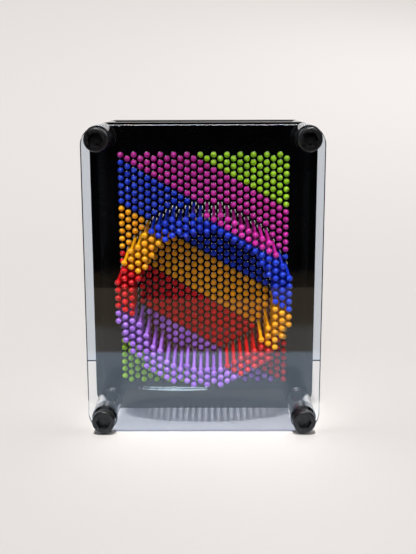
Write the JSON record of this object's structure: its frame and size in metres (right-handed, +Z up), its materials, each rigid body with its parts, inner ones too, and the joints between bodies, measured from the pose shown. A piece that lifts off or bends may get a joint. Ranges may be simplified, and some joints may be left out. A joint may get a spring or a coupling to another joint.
{
  "type": "pin art impression toy",
  "caption": "Upright desk toy whose coloured ball-headed pins slide through two black plates behind a clear cover, to hold the relief of what is pressed into them.",
  "frame": {"origin": "middle of the footprint, on the surface that the toy stands on", "axes": "+Z up, -Y towards the clear cover, +X to the right as seen from the front"},
  "size_m": [0.095, 0.0694, 0.125],
  "materials": {
    "clear_acrylic": "polished clear acrylic",
    "black_acrylic": "polished black acrylic",
    "black_screw": "moulded black nylon, satin",
    "lime_plastic": "moulded, glossy",
    "magenta_plastic": "moulded, glossy",
    "blue_plastic": "moulded, glossy",
    "orange_plastic": "moulded, glossy",
    "red_plastic": "moulded, glossy",
    "purple_plastic": "moulded, glossy"
  },
  "bodies": {
    "case": {"front_cover": "clear_acrylic", "front_pin_plate": "black_acrylic", "rear_guide_plate": "black_acrylic", "rear_frame": "black_acrylic", "front_screw_top_left": "black_screw", "front_screw_top_right": "black_screw", "front_screw_bottom_left": "black_screw", "front_screw_bottom_right": "black_screw", "front_post_top_left": "clear_acrylic", "front_post_top_right": "clear_acrylic", "front_post_bottom_left": "clear_acrylic", "front_post_bottom_right": "clear_acrylic", "plate_washer_top_left": "black_acrylic", "plate_washer_top_right": "black_acrylic", "plate_washer_bottom_left": "black_acrylic", "plate_washer_bottom_right": "black_acrylic", "plate_stud_top_left": "black_screw", "plate_stud_top_right": "black_screw", "plate_stud_bottom_left": "black_screw", "plate_stud_bottom_right": "black_screw", "rear_post_top_left": "clear_acrylic", "rear_post_top_right": "clear_acrylic", "rear_post_bottom_left": "clear_acrylic", "rear_post_bottom_right": "clear_acrylic", "rear_screw_top_left": "black_screw", "rear_screw_top_right": "black_screw", "rear_screw_bottom_left": "black_screw", "rear_screw_bottom_right": "black_screw"},
    "lime_top_pins": {"lime_top_pins": "lime_plastic"},
    "magenta_outside_left_pins": {"magenta_outside_left_pins": "magenta_plastic"},
    "magenta_outside_right_pins": {"magenta_outside_right_pins": "magenta_plastic"},
    "magenta_ring_pins": {"magenta_ring_pins": "magenta_plastic"},
    "blue_outside_pins": {"blue_outside_pins": "blue_plastic"},
    "blue_ring_left_pins": {"blue_ring_left_pins": "blue_plastic"},
    "blue_ring_right_pins": {"blue_ring_right_pins": "blue_plastic"},
    "blue_inside_pins": {"blue_inside_pins": "blue_plastic"},
    "orange_outside_left_pins": {"orange_outside_left_pins": "orange_plastic"},
    "orange_outside_right_pins": {"orange_outside_right_pins": "orange_plastic"},
    "orange_ring_left_pins": {"orange_ring_left_pins": "orange_plastic"},
    "orange_ring_right_pins": {"orange_ring_right_pins": "orange_plastic"},
    "orange_inside_pins": {"orange_inside_pins": "orange_plastic"},
    "red_outside_pins": {"red_outside_pins": "red_plastic"},
    "red_ring_left_pins": {"red_ring_left_pins": "red_plastic"},
    "red_ring_right_pins": {"red_ring_right_pins": "red_plastic"},
    "red_inside_pins": {"red_inside_pins": "red_plastic"},
    "purple_outside_pins": {"purple_outside_pins": "purple_plastic"},
    "purple_ring_left_pins": {"purple_ring_left_pins": "purple_plastic"},
    "purple_ring_right_pins": {"purple_ring_right_pins": "purple_plastic"},
    "purple_inside_pins": {"purple_inside_pins": "purple_plastic"},
    "lime_bottom_pins": {"lime_bottom_pins": "lime_plastic"}
  },
  "joints": [
    {"name": "lime_top_slide", "type": "slide", "parent": "case", "child": "lime_top_pins", "axis": [0, -0.9969, -0.0785], "range_m": [0, 0.023]},
    {"name": "magenta_outside_left_slide", "type": "slide", "parent": "case", "child": "magenta_outside_left_pins", "axis": [0, -0.9969, -0.0785], "range_m": [0, 0.023]},
    {"name": "magenta_outside_right_slide", "type": "slide", "parent": "case", "child": "magenta_outside_right_pins", "axis": [0, -0.9969, -0.0785], "range_m": [0, 0.023]},
    {"name": "magenta_ring_slide", "type": "slide", "parent": "case", "child": "magenta_ring_pins", "axis": [0, -0.9969, -0.0785], "range_m": [-0.0211, 0.0019]},
    {"name": "blue_outside_slide", "type": "slide", "parent": "case", "child": "blue_outside_pins", "axis": [0, -0.9969, -0.0785], "range_m": [0, 0.023]},
    {"name": "blue_ring_left_slide", "type": "slide", "parent": "case", "child": "blue_ring_left_pins", "axis": [0, -0.9969, -0.0785], "range_m": [-0.0211, 0.0019]},
    {"name": "blue_ring_right_slide", "type": "slide", "parent": "case", "child": "blue_ring_right_pins", "axis": [0, -0.9969, -0.0785], "range_m": [-0.0211, 0.0019]},
    {"name": "blue_inside_slide", "type": "slide", "parent": "case", "child": "blue_inside_pins", "axis": [0, -0.9969, -0.0785], "range_m": [0, 0.023]},
    {"name": "orange_outside_left_slide", "type": "slide", "parent": "case", "child": "orange_outside_left_pins", "axis": [0, -0.9969, -0.0785], "range_m": [0, 0.023]},
    {"name": "orange_outside_right_slide", "type": "slide", "parent": "case", "child": "orange_outside_right_pins", "axis": [0, -0.9969, -0.0785], "range_m": [0, 0.023]},
    {"name": "orange_ring_left_slide", "type": "slide", "parent": "case", "child": "orange_ring_left_pins", "axis": [0, -0.9969, -0.0785], "range_m": [-0.0211, 0.0019]},
    {"name": "orange_ring_right_slide", "type": "slide", "parent": "case", "child": "orange_ring_right_pins", "axis": [0, -0.9969, -0.0785], "range_m": [-0.0211, 0.0019]},
    {"name": "orange_inside_slide", "type": "slide", "parent": "case", "child": "orange_inside_pins", "axis": [0, -0.9969, -0.0785], "range_m": [0, 0.023]},
    {"name": "red_outside_slide", "type": "slide", "parent": "case", "child": "red_outside_pins", "axis": [0, -0.9969, -0.0785], "range_m": [0, 0.023]},
    {"name": "red_ring_left_slide", "type": "slide", "parent": "case", "child": "red_ring_left_pins", "axis": [0, -0.9969, -0.0785], "range_m": [-0.0211, 0.0019]},
    {"name": "red_ring_right_slide", "type": "slide", "parent": "case", "child": "red_ring_right_pins", "axis": [0, -0.9969, -0.0785], "range_m": [-0.0211, 0.0019]},
    {"name": "red_inside_slide", "type": "slide", "parent": "case", "child": "red_inside_pins", "axis": [0, -0.9969, -0.0785], "range_m": [0, 0.023]},
    {"name": "purple_outside_slide", "type": "slide", "parent": "case", "child": "purple_outside_pins", "axis": [0, -0.9969, -0.0785], "range_m": [0, 0.023]},
    {"name": "purple_ring_left_slide", "type": "slide", "parent": "case", "child": "purple_ring_left_pins", "axis": [0, -0.9969, -0.0785], "range_m": [-0.0211, 0.0019]},
    {"name": "purple_ring_right_slide", "type": "slide", "parent": "case", "child": "purple_ring_right_pins", "axis": [0, -0.9969, -0.0785], "range_m": [-0.0211, 0.0019]},
    {"name": "purple_inside_slide", "type": "slide", "parent": "case", "child": "purple_inside_pins", "axis": [0, -0.9969, -0.0785], "range_m": [0, 0.023]},
    {"name": "lime_bottom_slide", "type": "slide", "parent": "case", "child": "lime_bottom_pins", "axis": [0, -0.9969, -0.0785], "range_m": [0, 0.023]}
  ]
}
